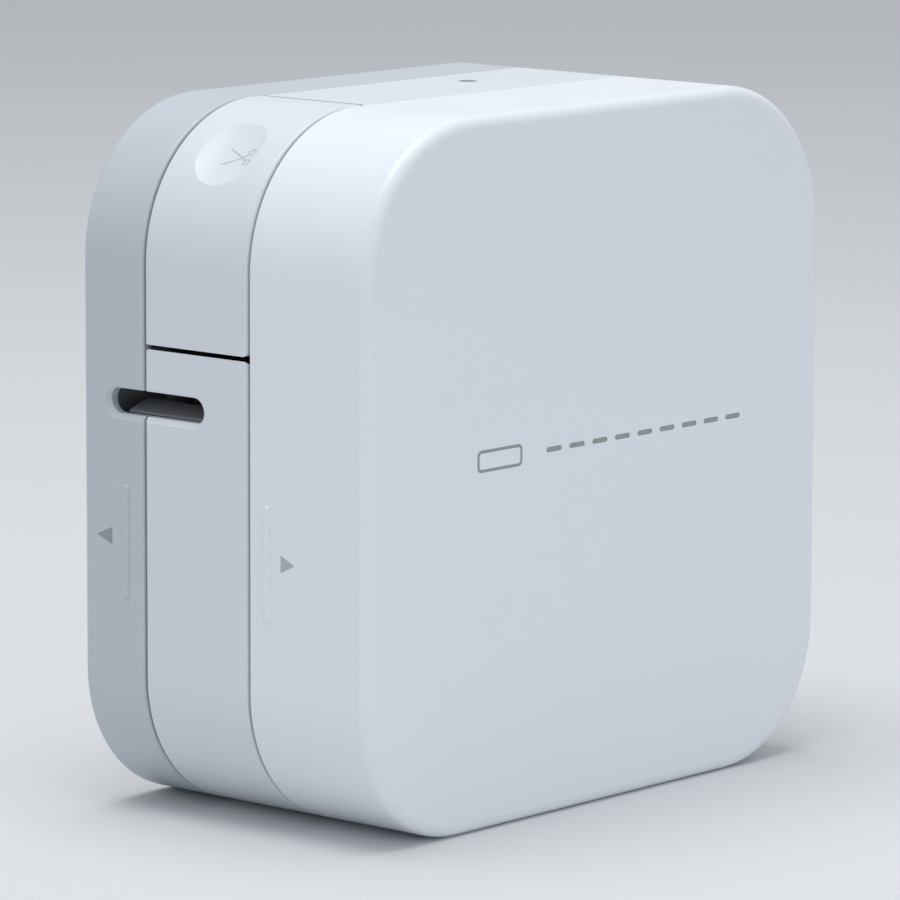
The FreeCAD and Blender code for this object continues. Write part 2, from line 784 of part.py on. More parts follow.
def gear_wire(teeth, y, centre, phase):
    """The outline of an involute gear, with a tooth's middle at phase, counted from +X to +Z."""
    module = float(s.gear_module)
    pitch_radius = module * teeth / 2
    base_radius = pitch_radius * math.cos(GEAR_ANGLE)
    tip_radius = pitch_radius + 0.9 * module
    root_radius = pitch_radius - 1.2 * module
    half_tooth = math.pi / (2 * teeth) - float(s.gear_backlash) / (2 * pitch_radius)
    start = max(base_radius, root_radius + 0.02)
    flank = []
    for step in range(4):
        radius = start + (tip_radius - start) * step / 3
        pressure = math.acos(base_radius / radius)
        flank.append((radius, half_tooth + involute(GEAR_ANGLE) - involute(pressure)))
    points = []
    for tooth in range(teeth):
        middle_angle = phase + 2 * math.pi * tooth / teeth
        side = [(root_radius, flank[0][1])] + flank
        rising = [(radius, middle_angle - half) for radius, half in side]
        falling = [(radius, middle_angle + half) for radius, half in reversed(side)]
        points.extend(rising + falling)
    cx, cz = (float(value) for value in centre)
    corners = [Vector(cx + r * math.cos(a), float(y), cz + r * math.sin(a)) for r, a in points]
    return Part.makePolygon(corners + [corners[0]])


def gear(label, teeth, centre, span, phase, bore=None):
    face = Part.Face(gear_wire(teeth, span[0], centre, phase))
    solid = face.extrude(Vector(0, float(span[1]) - float(span[0]), 0))
    if bore is not None:
        cx, cz = (float(value) for value in centre)
        solid = solid.cut(Part.makeCylinder(float(bore), 20, Vector(cx, float(span[0]) - 5, cz),
                                            Vector(0, 1, 0)))
    feature = doc.addObject("Part::Feature", label)
    feature.Shape = solid
    return feature


def meshed_phase(phase, teeth, centre, other_teeth, other_centre):
    """The phase that puts a space of the other gear where this one's tooth reaches the pitch point."""
    dx = float(other_centre[0]) - float(centre[0])
    dz = float(other_centre[1]) - float(centre[1])
    toward = math.atan2(dz, dx)
    return toward + math.pi + (toward - phase) * teeth / other_teeth + math.pi / other_teeth


def stepped(start, teeth, other_teeth, degrees):
    """The centre of a gear that meshes with one at start, in a given direction."""
    distance = s.gear_module * (teeth + other_teeth) / 2
    angle = math.radians(degrees)
    return (start[0] + distance * math.cos(angle), start[1] + distance * math.sin(angle))


def between(first, first_reach, last, last_reach, side):
    """The centre that lies at two given reaches from two others."""
    dx = float(last[0]) - float(first[0])
    dz = float(last[1]) - float(first[1])
    apart = math.hypot(dx, dz)
    along = (apart ** 2 + float(first_reach) ** 2 - float(last_reach) ** 2) / (2 * apart)
    across = side * math.sqrt(float(first_reach) ** 2 - along ** 2)
    return (first[0] + (dx * along - dz * across) / apart,
            first[1] + (dz * along + dx * across) / apart)


PINION, LARGE, SMALL, IDLER, PLATEN, TAKEUP = 12, 40, 14, 18, 22, 26
takeup_x = s.head_x - 3.0
takeup_z = s.cassette_bottom + 12.0
platen_axis = (s.head_x, platen_z)
takeup_axis = (takeup_x, takeup_z)
platen_idler = stepped(platen_axis, PLATEN, IDLER, -90)
reduction = stepped(platen_idler, IDLER, SMALL, 200)
motor_axis = stepped(reduction, LARGE, PINION, 200)
# the ribbon's idler has just enough teeth to reach from the reduction's small gear to the drive's
takeup_apart = math.hypot(float(takeup_x - reduction[0]), float(takeup_z - reduction[1]))
FEED = math.ceil(takeup_apart / float(s.gear_module) - (SMALL + TAKEUP) / 2)
takeup_idler = between(reduction, s.gear_module * (SMALL + FEED) / 2,
                       takeup_axis, s.gear_module * (FEED + TAKEUP) / 2, -1)

reduction_phase = 0.0
idler_phase = meshed_phase(reduction_phase, SMALL, reduction, IDLER, platen_idler)
platen_phase = meshed_phase(idler_phase, IDLER, platen_idler, PLATEN, platen_axis)
pinion_phase = meshed_phase(reduction_phase, LARGE, reduction, PINION, motor_axis)
feed_phase = meshed_phase(reduction_phase, SMALL, reduction, FEED, takeup_idler)
takeup_phase = meshed_phase(feed_phase, FEED, takeup_idler, TAKEUP, takeup_axis)
pin_bore = s.shaft + s.running


def motor():
    can = rod("motor_can", "Y", motor_axis, (plate_front - s.motor_length, plate_front), s.motor_radius)
    flats = [
        box("motor_flat_" + name, (motor_axis[0] - 12, motor_axis[0] + 12),
            (plate_front - s.motor_length - 1, plate_front + 1), limits)
        for name, limits in (
            ("low", (motor_axis[1] - 13, motor_axis[1] - s.motor_radius + 2.2)),
            ("high", (motor_axis[1] + s.motor_radius - 2.2, motor_axis[1] + 13)))
    ]
    rear_boss = rod("motor_rear_boss", "Y", motor_axis,
                    (plate_front - s.motor_length - 1.5, plate_front - s.motor_length), 3.0)
    keep("motor", join("motor_whole", cut("motor_flatted", can, *flats), rear_boss))


def motor_pinion():
    shaft = rod("motor_shaft", "Y", motor_axis, (plate_front + 0.2, gear_far[1] + 0.3), 0.75)
    teeth = gear("pinion_teeth", PINION, motor_axis, gear_far, pinion_phase)
    keep("motor_pinion", join("pinion_whole", teeth, shaft))


def reduction_gear():
    large = gear("reduction_large", LARGE, reduction, gear_far, reduction_phase, pin_bore)
    hub = cut("reduction_hub",
              rod("reduction_hub_rod", "Y", reduction, (gear_far[1] - 0.1, gear_near[0] + 0.1), 3.0),
              rod("reduction_hub_bore", "Y", reduction, (gear_far[0], gear_near[1]), pin_bore))
    small = gear("reduction_small", SMALL, reduction, gear_near, reduction_phase, pin_bore)
    keep("reduction_gear", join("reduction_whole", large, hub, small))


def idler_gears():
    keep("platen_idler_gear", gear("idler_teeth", IDLER, platen_idler, gear_near, idler_phase, pin_bore))
    keep("ribbon_idler_gear", gear("feed_teeth", FEED, takeup_idler, gear_near, feed_phase, pin_bore))


def gear_pins():
    """The reduction's pin spans both plates; the idlers' pins stop short of its large gear."""
    for name, centre, start in (("reduction_pin", reduction, plate_front),
                                ("platen_idler_pin", platen_idler, gear_near[0] - 0.2),
                                ("ribbon_idler_pin", takeup_idler, gear_near[0] - 0.2)):
        keep(name, rod(name + "_rod", "Y", centre, (start, chassis_back), s.shaft))


def ribbon_drive():
    teeth = gear("drive_teeth", TAKEUP, takeup_axis, gear_near, takeup_phase)
    shaft = rod("drive_shaft", "Y", takeup_axis, (plate_back - 0.5, cassette_back - 5), s.shaft)
    vane = box("drive_vane", (takeup_x - 2.2, takeup_x + 2.2), (cassette_front + 0.6, cassette_back - 6),
               (takeup_z - 0.5, takeup_z + 0.5))
    vane_across = box("drive_vane_across", (takeup_x - 0.5, takeup_x + 0.5),
                      (cassette_front + 0.6, cassette_back - 6), (takeup_z - 2.2, takeup_z + 2.2))
    keep("ribbon_drive", join("drive_whole", teeth, shaft, vane, vane_across))


def platen():
    shaft_end = head_span[1] + 3.0
    keep("platen_gear", gear("platen_teeth", PLATEN, platen_axis, gear_near, platen_phase, s.shaft))
    keep("platen_shaft", rod("platen_rod", "Y", platen_axis, (plate_back - 0.5, shaft_end), s.shaft))
    sleeve = rod("platen_sleeve", "Y", platen_axis, head_span, s.platen_radius)
    core = rod("platen_core", "Y", platen_axis, (head_span[0] - 1, head_span[1] + 1), s.shaft)
    keep("platen_roller", cut("platen_rubber", sleeve, core))


POST_PLACES = {
    "1": (s.head_x - 27.0, s.cassette_bottom + 3),
    "2": (s.head_x + 6.0, s.cassette_bottom + 3),
    "3": (s.head_x - 27.0, platen_z + 1),
    "4": (s.head_x + 10.5, platen_z + 3),
}


def gear_plate():
    sheet_metal = box("gear_sheet", (s.head_x - 30, s.head_x + 13.0),
                      (plate_front, plate_back), (s.cassette_bottom, platen_z + 6))
    posts = []
    threads = []
    for name, centre in POST_PLACES.items():
        posts.append(rod("gear_post_" + name, "Y", centre, (plate_back - 0.2, chassis_front), 1.8))
        threads.append(rod("gear_thread_" + name, "Y", centre,
                           (plate_front - 1, plate_front + 4.5), 0.9))
    holes = [
        rod("plate_motor_hole", "Y", motor_axis, (plate_front - 1, plate_back + 1), 4.4),
        rod("plate_platen_hole", "Y", platen_axis, (plate_front - 1, plate_back + 1), pin_bore),
        rod("plate_drive_hole", "Y", takeup_axis, (plate_front - 1, plate_back + 1), pin_bore),
        rod("plate_pin_hole", "Y", reduction, (plate_front - 1, plate_back + 1), s.shaft),
    ]
    keep("gear_plate", cut("gear_plate_cut", join("gear_plate_posts", sheet_metal, *posts),
                           *holes, *threads))


def gear_screws():
    for name, centre in POST_PLACES.items():
        label = "gear_plate_screw_" + name
        head = rod(label + "_head", "Y", centre, (plate_front - 1.2, plate_front), 1.9)
        shank = rod(label + "_shank", "Y", centre, (plate_front - 0.1, plate_front + 4.2), 0.9)
        recess = box(label + "_recess", (centre[0] - 1.1, centre[0] + 1.1),
                     (plate_front - 2, plate_front - 0.6), (centre[1] - 0.2, centre[1] + 0.2))
        across = box(label + "_across", (centre[0] - 0.2, centre[0] + 0.2),
                     (plate_front - 2, plate_front - 0.6), (centre[1] - 1.1, centre[1] + 1.1))
        keep(label, cut(label + "_cut", join(label + "_blank", head, shank), recess, across))


# ---- printing ----

def print_head():
    half = s.head_width / 2
    body = box("head_body", (s.head_x - half, s.head_x + half), head_span, (head_top - 1.1, head_top - 0.15))
    line = rod("head_line", "Y", (s.head_x, head_top - 0.5), head_span, 0.5)
    keep("print_head", join("head_whole", body, line))


def heat_sink():
    block = box("sink_block", (s.head_x - 4, s.head_x + 4), (chassis_back, head_span[1]),
                (cassette_top - 10, head_top - 1.1))
    grooves = [
        box(f"sink_groove_{side}_{number}", limits, (head_span[0] - 1, head_span[1] + 1),
            (cassette_top - 8.6 + 2.2 * number, cassette_top - 7.4 + 2.2 * number))
        for side, limits in (("left", (s.head_x - 5, s.head_x - 1.5)), ("right", (s.head_x + 1.5, s.head_x + 5)))
        for number in range(3)
    ]
    keep("heat_sink", cut("sink_cut", block, *grooves))


def platen_bracket():
    """An arm over the cassette that holds the outer end of the platen's shaft."""
    outer = (head_span[1] + 0.6, head_span[1] + 2.4)
    cheek = box("bracket_cheek", (s.head_x, s.head_x + 9), outer, (cassette_top + 0.4, cassette_top + 7))
    boss = rod("bracket_boss", "Y", platen_axis, outer, 2.2)
    beam = box("bracket_beam", (s.head_x + 5.5, s.head_x + 9), (chassis_back, outer[1]),
               (cassette_top + 0.4, cassette_top + 7))
    hole = rod("bracket_hole", "Y", platen_axis, (outer[0] - 1, outer[1] + 1), pin_bore)
    keep("platen_bracket", cut("bracket_cut", join("bracket_whole", cheek, boss, beam), hole))


# ---- cassette ----

label_axis = (s.cassette_left + 42.0, s.cassette_bottom + 25.0)
supply_axis = (s.cassette_left + 13.0, s.cassette_bottom + 31.0)
cassette_x = (s.cassette_left, cassette_right)
cassette_z = (s.cassette_bottom, cassette_top)


def cassette_half(name, span, hollow_span):
    hollow = box(name + "_hollow", (cassette_x[0] + s.cassette_wall, cassette_x[1] - s.cassette_wall),
                 hollow_span, (cassette_z[0] + s.cassette_wall, cassette_z[1] - s.cassette_wall))
    # the part of the hollow beside the head keeps a wall round the notch
    bridge = box(name + "_bridge", (notch[0] - s.cassette_wall, notch[1] + s.cassette_wall), span,
                 (cassette_top - 11.5 - s.cassette_wall, cassette_top))
    tape_way = box(name + "_way", (notch[0] - 20, notch[1] + 10), (tape_front - 0.5, tape_back + 0.5),
                   (s.tape_level - 0.6, s.tape_level + 0.6))
    tools = [
        box(name + "_notch", notch, (chassis_back, back), (cassette_top - 11.5, cassette_top + 1)),
        tape_way,
    ]
    if name == "case_front":
        tools.append(rod(name + "_drive", "Y", takeup_axis, (span[0] - 1, span[0] + 3), 3.2))
    shell = cut(name + "_shell", box(name + "_block", cassette_x, span, cassette_z), hollow)
    keep("cassette_" + name, cut(name + "_cut", join(name + "_bridged", shell, bridge), *tools))


def cassette_case():
    split = cassette_middle
    wall = s.cassette_wall
    cassette_half("case_front", (cassette_front, split), (cassette_front + wall, split + 1))
    cassette_half("case_rear", (split, cassette_back), (split - 1, cassette_back - wall))


def reel(name, axis, radius, width, bore):
    """A wound reel on a core that stands a little proud of it at both ends."""
    half = width / 2
    core_span = (cassette_middle - half - 0.9, cassette_middle + half + 0.9)
    wound = rod(name + "_wound", "Y", axis, (cassette_middle - half, cassette_middle + half), radius)
    core = rod(name + "_core", "Y", axis, core_span, s.core_radius)
    hole = rod(name + "_bore", "Y", axis, (core_span[0] - 1, core_span[1] + 1), bore)
    keep(name, cut(name + "_cut", join(name + "_whole", wound, core), hole))


def cassette_reels():
    reel("label_reel", label_axis, s.label_roll, s.tape_width, 2.5)
    reel("ribbon_supply_reel", supply_axis, s.ribbon_supply, s.tape_width, 2.5)
    reel("ribbon_takeup_reel", takeup_axis, s.ribbon_takeup, s.tape_width, 2.6)


def cassette_hubs():
    """Fixed spindles that the free reels turn on."""
    inside = (cassette_front + s.cassette_wall, cassette_back - s.cassette_wall)
    keep("label_spindle", rod("label_hub", "Y", label_axis, inside, 2.45))
    keep("ribbon_spindle", rod("ribbon_hub", "Y", supply_axis, inside, 2.45))


def tape_strip():
    """Label tape: up beside its reel, round a guide and straight out to the cutter."""
    bend = 3.0
    thick = float(s.tape_thickness)
    x_run = float(label_axis[0] + s.label_roll) + 0.3
    level = float(tape_bottom)
    y = float(tape_front)
    centre = Vector(x_run - bend, y, level - bend)
    start = Vector(x_run, y, float(label_axis[1]))
    quarter = math.sqrt(0.5)

    def arc(radius):
        return Part.Arc(centre + Vector(radius, 0, 0), centre + Vector(radius * quarter, 0, radius * quarter),
                        centre + Vector(0, 0, radius)).toShape()

    end = float(tape_end)
    corners = [
        start,
        centre + Vector(bend, 0, 0),
        centre + Vector(0, 0, bend),
        Vector(end, y, level),
        Vector(end, y, level + thick),
        centre + Vector(0, 0, bend + thick),
        centre + Vector(bend + thick, 0, 0),
        start + Vector(thick, 0, 0),
    ]
    edges = [
        Part.makeLine(corners[0], corners[1]),
        arc(bend),
        Part.makeLine(corners[2], corners[3]),
        Part.makeLine(corners[3], corners[4]),
        Part.makeLine(corners[4], corners[5]),
        arc(bend + thick),
        Part.makeLine(corners[6], corners[7]),
        Part.makeLine(corners[7], corners[0]),
    ]
    outline = Part.Wire(Part.__sortEdges__(edges))
    strip = doc.addObject("Part::Feature", "strip")
    strip.Shape = Part.Face(outline).extrude(Vector(0, float(s.tape_width), 0))
    keep("label_tape", strip)
    keep("tape_guide", rod("guide_rod", "Y", (x_run - bend, level - bend),
                           (cassette_front + s.cassette_wall, cassette_back - s.cassette_wall), bend - 0.1))


# ---- power ----

# the tray stands beside the motor and just behind the front face
cell_pitch = 2 * s.cell_radius + s.cell_space
tray_left = motor_axis[0] + s.motor_radius + s.tray_gap
tray_right = tray_left + 6 * cell_pitch + 2 * s.tray_wall + 1.0
cell_y = front + s.face_wall + 1.55 + s.cell_radius
cell_low = s.tray_bottom + s.tray_wall + 2.75
cell_high = cell_low + s.cell_length
tray_top = cell_high + 2.75 + s.tray_wall
tray_floor = (cell_y + s.cell_radius + 0.35, cell_y + s.cell_radius + 0.35 + s.tray_wall)
cell_x = [tray_left + s.tray_wall + 0.5 + cell_pitch * (number + 0.5) for number in range(6)]
cell_z = (cell_low, cell_high)


def battery_tray():
    outer = box("tray_outer", (tray_left, tray_right), (cell_y - s.cell_radius + 0.4, tray_floor[1]),
                (s.tray_bottom, tray_top))
    pocket = box("tray_pocket", (tray_left + s.tray_wall, tray_right - s.tray_wall),
                 (front, tray_floor[0]), (s.tray_bottom + s.tray_wall, tray_top - s.tray_wall))
    legs = [
        rod(f"tray_leg_{float(x):.0f}_{side}", "Y", (x, z), (tray_floor[0] + 0.5, chassis_front), 2.5)
        for x in (tray_left + 28.5, tray_right - 4)
        for side, z in (("low", s.tray_bottom + 5), ("high", tray_top - 5))
    ]
    keep("battery_tray", join("tray_whole", cut("tray_cut", outer, pocket), *legs))


def battery_cells():
    for number, x in enumerate(cell_x, start=1):
        name = f"battery_cell_{number}"
        up = number % 2 == 1
        can_span = (cell_z[0], cell_z[1] - 1.2) if up else (cell_z[0] + 1.2, cell_z[1])
        tip_span = (cell_z[1] - 1.3, cell_z[1]) if up else (cell_z[0], cell_z[0] + 1.3)
        can = rod(name + "_can", "Z", (x, cell_y), can_span, s.cell_radius)
        tip = rod(name + "_tip", "Z", (x, cell_y), tip_span, 2.6)
        keep(name, join(name + "_whole", can, tip))


def battery_contacts():
    """A strip at each end of the cells, with a cone spring or a button for each cell."""
    strip_x = (cell_x[0] - 4.5, cell_x[5] + 4.5)
    for name, strip_z, tips in (
        ("lower", (s.tray_bottom + s.tray_wall, s.tray_bottom + s.tray_wall + 0.5), cell_z[0] - s.cell_gap),
        ("upper", (tray_top - s.tray_wall - 0.5, tray_top - s.tray_wall), cell_z[1] + s.cell_gap),
    ):
        strip = box(f"contact_{name}_strip", strip_x, (cell_y - 4, cell_y + 4), strip_z)
        pieces = [strip]
        for number, x in enumerate(cell_x, start=1):
            span = (strip_z[0] + 0.2, tips) if name == "lower" else (tips, strip_z[1] - 0.2)
            radii = (3.4, 2.0) if name == "lower" else (2.0, 3.4)
            pieces.append(cone(f"contact_{name}_{number}", "Z", (x, cell_y), span, radii))
        keep(f"battery_contact_{name}", join(f"contact_{name}_whole", *pieces))


def supply_socket():
    shell = join(
        "jack_shell",
        rod("jack_barrel", "X", (jack_y, s.jack_height), (right - 6.5, right - 0.4), s.jack_radius),
        box("jack_box", (right - 15, right - s.wall - s.liner - 0.1), (chassis_back, jack_y + 5),
            (s.jack_height - 5, s.jack_height + 5)),
    )
    bore = rod("jack_bore_cut", "X", (jack_y, s.jack_height), (right - 9.5, right), s.jack_bore)
    pin = rod("jack_pin", "X", (jack_y, s.jack_height), (right - 10, right - 1.5), 1.0)
    keep("supply_socket", join("jack_whole", cut("jack_bored", shell, bore), pin))


# ---- electronics ----

board_z = (top - 25.0, top - 5.0)
board_y = (chassis_front - 15.0, chassis_front - 13.4)
switch_level = top - 12.4


def main_board():
    board = box("board_slab", (-16, 40), board_y, board_z)
    posts = [
        rod(f"board_post_{side}", "Y", (x, top - 15), (board_y[1] - 0.1, chassis_front), 2.0)
        for side, x in (("left", -10), ("right", 34))
    ]
    keep("main_board", join("board_whole", board, *posts))
    keep("processor_chip", box("chip", (-4, 6), (board_y[0] - 1.2, board_y[0]), (top - 20, top - 10)))
    keep("radio_module", box("radio", (14, 30), (board_y[0] - 2.0, board_y[0]), (top - 21, top - 9)))


def switch_board():
    board = box("switch_slab", (s.power_x - 8, s.power_x + 8), (chassis_back, power_y + 6.5),
                (switch_level - 1.6, switch_level))
    keep("switch_board", board)
    can = box("switch_can", (s.power_x - 3, s.power_x + 3), (power_y - 2.4, power_y + 3),
              (switch_level, switch_level + 3.2))
    plunger = rod("switch_plunger", "Z", (s.power_x, power_y), (switch_level + 3.1, switch_level + 4), 1.2)
    keep("power_switch", join("switch_whole", can, plunger))
    keep("status_light", box("light", (s.power_x + 5, s.power_x + 7), (power_y - 1, power_y + 1),
                             (switch_level, switch_level + 1)))


def power_button():
    """A small round cap set below the surface, with a stop flange inside the case."""
    centre = (s.power_x, power_y)
    cap = rod("power_cap", "Z", centre, (switch_level + 4.7, top - s.power_recess), s.power_radius)
    flange = rod("power_flange", "Z", centre, (switch_level + 5.0, switch_level + 6.0),
                 s.power_radius + 0.7)
    keep("power_button", join("power_whole", cap, flange))


# ---- build, check and write ----

for make in (
    front_cover, rear_cover, centre_body, inner_frame, cutter_button, button_pin, button_spring,
    moving_blade_plate, blade_lever, blade_pin, cutter_frame, fixed_blade_plate, exit_guide,
    motor, motor_pinion, reduction_gear, idler_gears, gear_pins, ribbon_drive, platen, gear_plate,
    gear_screws, print_head, heat_sink, platen_bracket, cassette_case, cassette_reels,
    cassette_hubs, tape_strip, battery_tray, battery_cells, battery_contacts, supply_socket,
    main_board, switch_board, power_button,
):
    make()
doc.recompute()

faults = [item.Label for item in doc.Objects if {"Invalid", "Error"} & set(item.State)]
for name, solid in nodes.items():
    shape = solid.Shape
    if shape.isNull() or not shape.isValid() or len(shape.Solids) != 1:
        faults.append(f"{name} ({len(shape.Solids)} solids)")
if faults:
    raise SystemExit("not built: " + ", ".join(faults))

os.makedirs("parts", exist_ok=True)
for name, solid in nodes.items():
    solid.Shape.exportStep(f"parts/{name}.step")
print(len(nodes), "sub-parts written")
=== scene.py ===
import json
import math

import bmesh
import bpy
from mathutils import Matrix, Vector
from mathutils.bvhtree import BVHTree

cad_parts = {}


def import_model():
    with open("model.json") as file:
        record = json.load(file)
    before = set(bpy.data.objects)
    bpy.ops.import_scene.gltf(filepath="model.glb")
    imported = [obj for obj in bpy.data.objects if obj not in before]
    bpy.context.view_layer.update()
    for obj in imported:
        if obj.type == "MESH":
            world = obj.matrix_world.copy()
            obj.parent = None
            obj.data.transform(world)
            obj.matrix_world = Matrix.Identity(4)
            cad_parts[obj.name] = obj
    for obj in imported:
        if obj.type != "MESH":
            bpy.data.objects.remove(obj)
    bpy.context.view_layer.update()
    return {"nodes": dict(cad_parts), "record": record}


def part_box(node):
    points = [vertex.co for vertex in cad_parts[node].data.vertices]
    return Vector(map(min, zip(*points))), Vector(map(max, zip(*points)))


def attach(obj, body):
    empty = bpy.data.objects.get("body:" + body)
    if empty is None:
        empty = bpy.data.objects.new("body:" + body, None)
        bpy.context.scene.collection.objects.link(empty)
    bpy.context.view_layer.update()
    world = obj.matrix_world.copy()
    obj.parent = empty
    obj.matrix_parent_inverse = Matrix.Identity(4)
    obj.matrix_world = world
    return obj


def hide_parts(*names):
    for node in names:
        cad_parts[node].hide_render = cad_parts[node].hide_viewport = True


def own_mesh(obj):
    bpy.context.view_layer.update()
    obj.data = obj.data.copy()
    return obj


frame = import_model()

MM = 0.001
NODES = frame["nodes"]
SLOT_OF = {part["node"]: part["material_slot"] for part in frame["record"]["subparts"]}

FRONT_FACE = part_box("front_cover")[0].y
CENTRE_LOW, CENTRE_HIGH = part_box("centre_body")
SIDE_FACE = CENTRE_LOW.x
CASE_TOP = CENTRE_HIGH.z
CASE_MIDDLE = Vector((0, 0, CASE_TOP / 2))
CORNER_RADIUS = 25 * MM  # of the case's upper corners


# ---- materials ----

class Nodes:
    """A short way to write a material's node tree."""

    def __init__(self, name):
        self.material = bpy.data.materials.new(name)
        self.material.use_nodes = True
        self.tree = self.material.node_tree
        self.tree.nodes.clear()
        self.output = self.tree.nodes.new("ShaderNodeOutputMaterial")
        self.shader = self.tree.nodes.new("ShaderNodeBsdfPrincipled")
        self.link(self.shader.outputs[0], self.output.inputs["Surface"])
        self.place = self.tree.nodes.new("ShaderNodeTexCoord").outputs["Object"]

    def link(self, source, target):
        self.tree.links.new(source, target)

    def add(self, kind, **settings):
        node = self.tree.nodes.new(kind)
        for key, value in settings.items():
            setattr(node, key, value)
        return node

    def mapped(self, scale=(1, 1, 1), location=(0, 0, 0)):
        """Object coordinates, stretched and moved."""
        node = self.add("ShaderNodeMapping")
        self.link(self.place, node.inputs["Vector"])
        node.inputs["Scale"].default_value = scale
        node.inputs["Location"].default_value = location
        return node.outputs["Vector"]

    def noise(self, size, detail=2.0, roughness=0.5, vector=None):
        """Noise whose features are about size metres across."""
        node = self.add("ShaderNodeTexNoise")
        self.link(vector or self.place, node.inputs["Vector"])
        node.inputs["Scale"].default_value = 1.0 / size
        node.inputs["Detail"].default_value = detail
        node.inputs["Roughness"].default_value = roughness
        return node.outputs["Fac"]

    def spread(self, value, low, high, start=0.3, stop=0.7):
        """Turn the range start to stop into low to high."""
        node = self.add("ShaderNodeMapRange")
        self.link(value, node.inputs["Value"])
        node.inputs["From Min"].default_value = start
        node.inputs["From Max"].default_value = stop
        node.inputs["To Min"].default_value = low
        node.inputs["To Max"].default_value = high
        return node.outputs["Result"]

    def blend(self, factor, first, second):
        """Colour between two colours, or between a colour and another node's colour."""
        node = self.add("ShaderNodeMix", data_type="RGBA")
        self.link(factor, node.inputs["Factor"])
        for socket, value in (("A", first), ("B", second)):
            target = [item for item in node.inputs if item.name == socket and item.type == "RGBA"][0]
            if isinstance(value, (tuple, list)):
                target.default_value = (*value[:3], 1)
            else:
                self.link(value, target)
        return [item for item in node.outputs if item.type == "RGBA"][0]

    def bump(self, height, distance, strength=1.0, normal=None):
        """A normal that height raises by up to distance, over an earlier normal if there is one."""
        node = self.add("ShaderNodeBump")
        self.link(height, node.inputs["Height"])
        node.inputs["Distance"].default_value = distance
        node.inputs["Strength"].default_value = strength
        if normal is not None:
            self.link(normal, node.inputs["Normal"])
        return node.outputs["Normal"]

    def set(self, **values):
        """Put a node's output or a plain number on the shader's sockets."""
        for key, value in values.items():
            socket = self.shader.inputs[key.replace("_", " ")]
            if isinstance(value, bpy.types.NodeSocket):
                self.link(value, socket)
            elif isinstance(value, (tuple, list)):
                socket.default_value = (*value[:3], 1)
            else:
                socket.default_value = value


def shade(colour, factor):
    """A colour made darker or lighter."""
    return tuple(channel * factor for channel in colour)


def moulded(name, colour, roughness=0.4, grain=0.00022, depth=0.000006, variation=0.03):
    """Moulded plastic: a fine spark-eroded grain, slow colour drift and handling marks in the sheen."""
    n = Nodes(name)
    drift = n.noise(0.03, 3.0)
    n.set(Base_Color=n.blend(drift, shade(colour, 1 - variation), shade(colour, 1 + variation)))
    handled = n.noise(0.012, 4.0, 0.6)
    n.set(Roughness=n.spread(handled, roughness - 0.04, roughness + 0.05))
    fine = n.noise(grain, 2.0)
    coarse = n.noise(0.02, 1.0)
    waves = n.bump(coarse, 0.00006, 0.5)
    n.set(Normal=n.bump(fine, depth, 1.0, waves))
    return n.material


def glossy(name, colour, roughness, variation=0.05):
    """A shiny surface, with faint wear in its sheen."""
    n = Nodes(name)
    drift = n.noise(0.004, 2.0)
    n.set(Base_Color=n.blend(drift, shade(colour, 1 - variation), shade(colour, 1 + variation)))
    n.set(Roughness=n.spread(n.noise(0.003, 4.0, 0.65), roughness * 0.7, roughness * 1.6))
    n.set(Normal=n.bump(n.noise(0.002, 2.0), 0.000008))
    return n.material


def metal(name, colour, roughness, stretch=(1, 1, 1), size=0.0004, depth=0.000004):
    """Worked metal: marks drawn out along the direction with the smallest stretch."""
    n = Nodes(name)
    marks = n.noise(size, 3.0, 0.6, n.mapped(stretch))
    tarnish = n.noise(0.006, 4.0, 0.6)
    n.set(Metallic=1.0)
    n.set(Base_Color=n.blend(tarnish, shade(colour, 0.86), colour))
    n.set(Roughness=n.spread(marks, roughness * 0.75, roughness * 1.4))
    n.set(Normal=n.bump(marks, depth))
    return n.material


def wound(name, colour, centre, spacing, roughness):
    """The edge of something wound on a reel: rings about its own axis, which lies along Y."""
    n = Nodes(name)
    flat = n.mapped((1, 0, 1), (-centre[0], 0, -centre[1]))
    length = n.add("ShaderNodeVectorMath", operation="LENGTH")
    n.link(flat, length.inputs[0])
    rings = n.add("ShaderNodeMath", operation="SINE")
    scaled = n.add("ShaderNodeMath", operation="MULTIPLY")
    n.link(length.outputs["Value"], scaled.inputs[0])
    scaled.inputs[1].default_value = 2 * math.pi / spacing
    n.link(scaled.outputs[0], rings.inputs[0])
    bands = n.spread(rings.outputs[0], 0, 1, -1, 1)
    n.set(Base_Color=n.blend(bands, shade(colour, 0.72), colour))
    n.set(Roughness=n.spread(n.noise(0.002, 3.0), roughness * 0.8, roughness * 1.2))
    n.set(Normal=n.bump(bands, 0.00002))
    return n.material


def circuit(name):
    """Solder mask over copper tracks, with bare pads scattered between them."""
    n = Nodes(name)
    tracks = n.add("ShaderNodeTexBrick")
    n.link(n.place, tracks.inputs["Vector"])
    tracks.inputs["Scale"].default_value = 320
    tracks.inputs["Mortar Size"].default_value = 0.06
    tracks.inputs["Color1"].default_value = (0.012, 0.10, 0.05, 1)
    tracks.inputs["Color2"].default_value = (0.010, 0.075, 0.04, 1)
    tracks.inputs["Mortar"].default_value = (0.03, 0.19, 0.09, 1)
    pads = n.add("ShaderNodeTexVoronoi")
    n.link(n.place, pads.inputs["Vector"])
    pads.inputs["Scale"].default_value = 380
    is_pad = n.spread(pads.outputs["Distance"], 1, 0, 0.16, 0.20)
    n.set(Base_Color=n.blend(is_pad, tracks.outputs["Color"], (0.62, 0.60, 0.54)))
    n.set(Roughness=0.3)
    n.set(Normal=n.bump(tracks.outputs["Fac"], 0.00003))
    return n.material


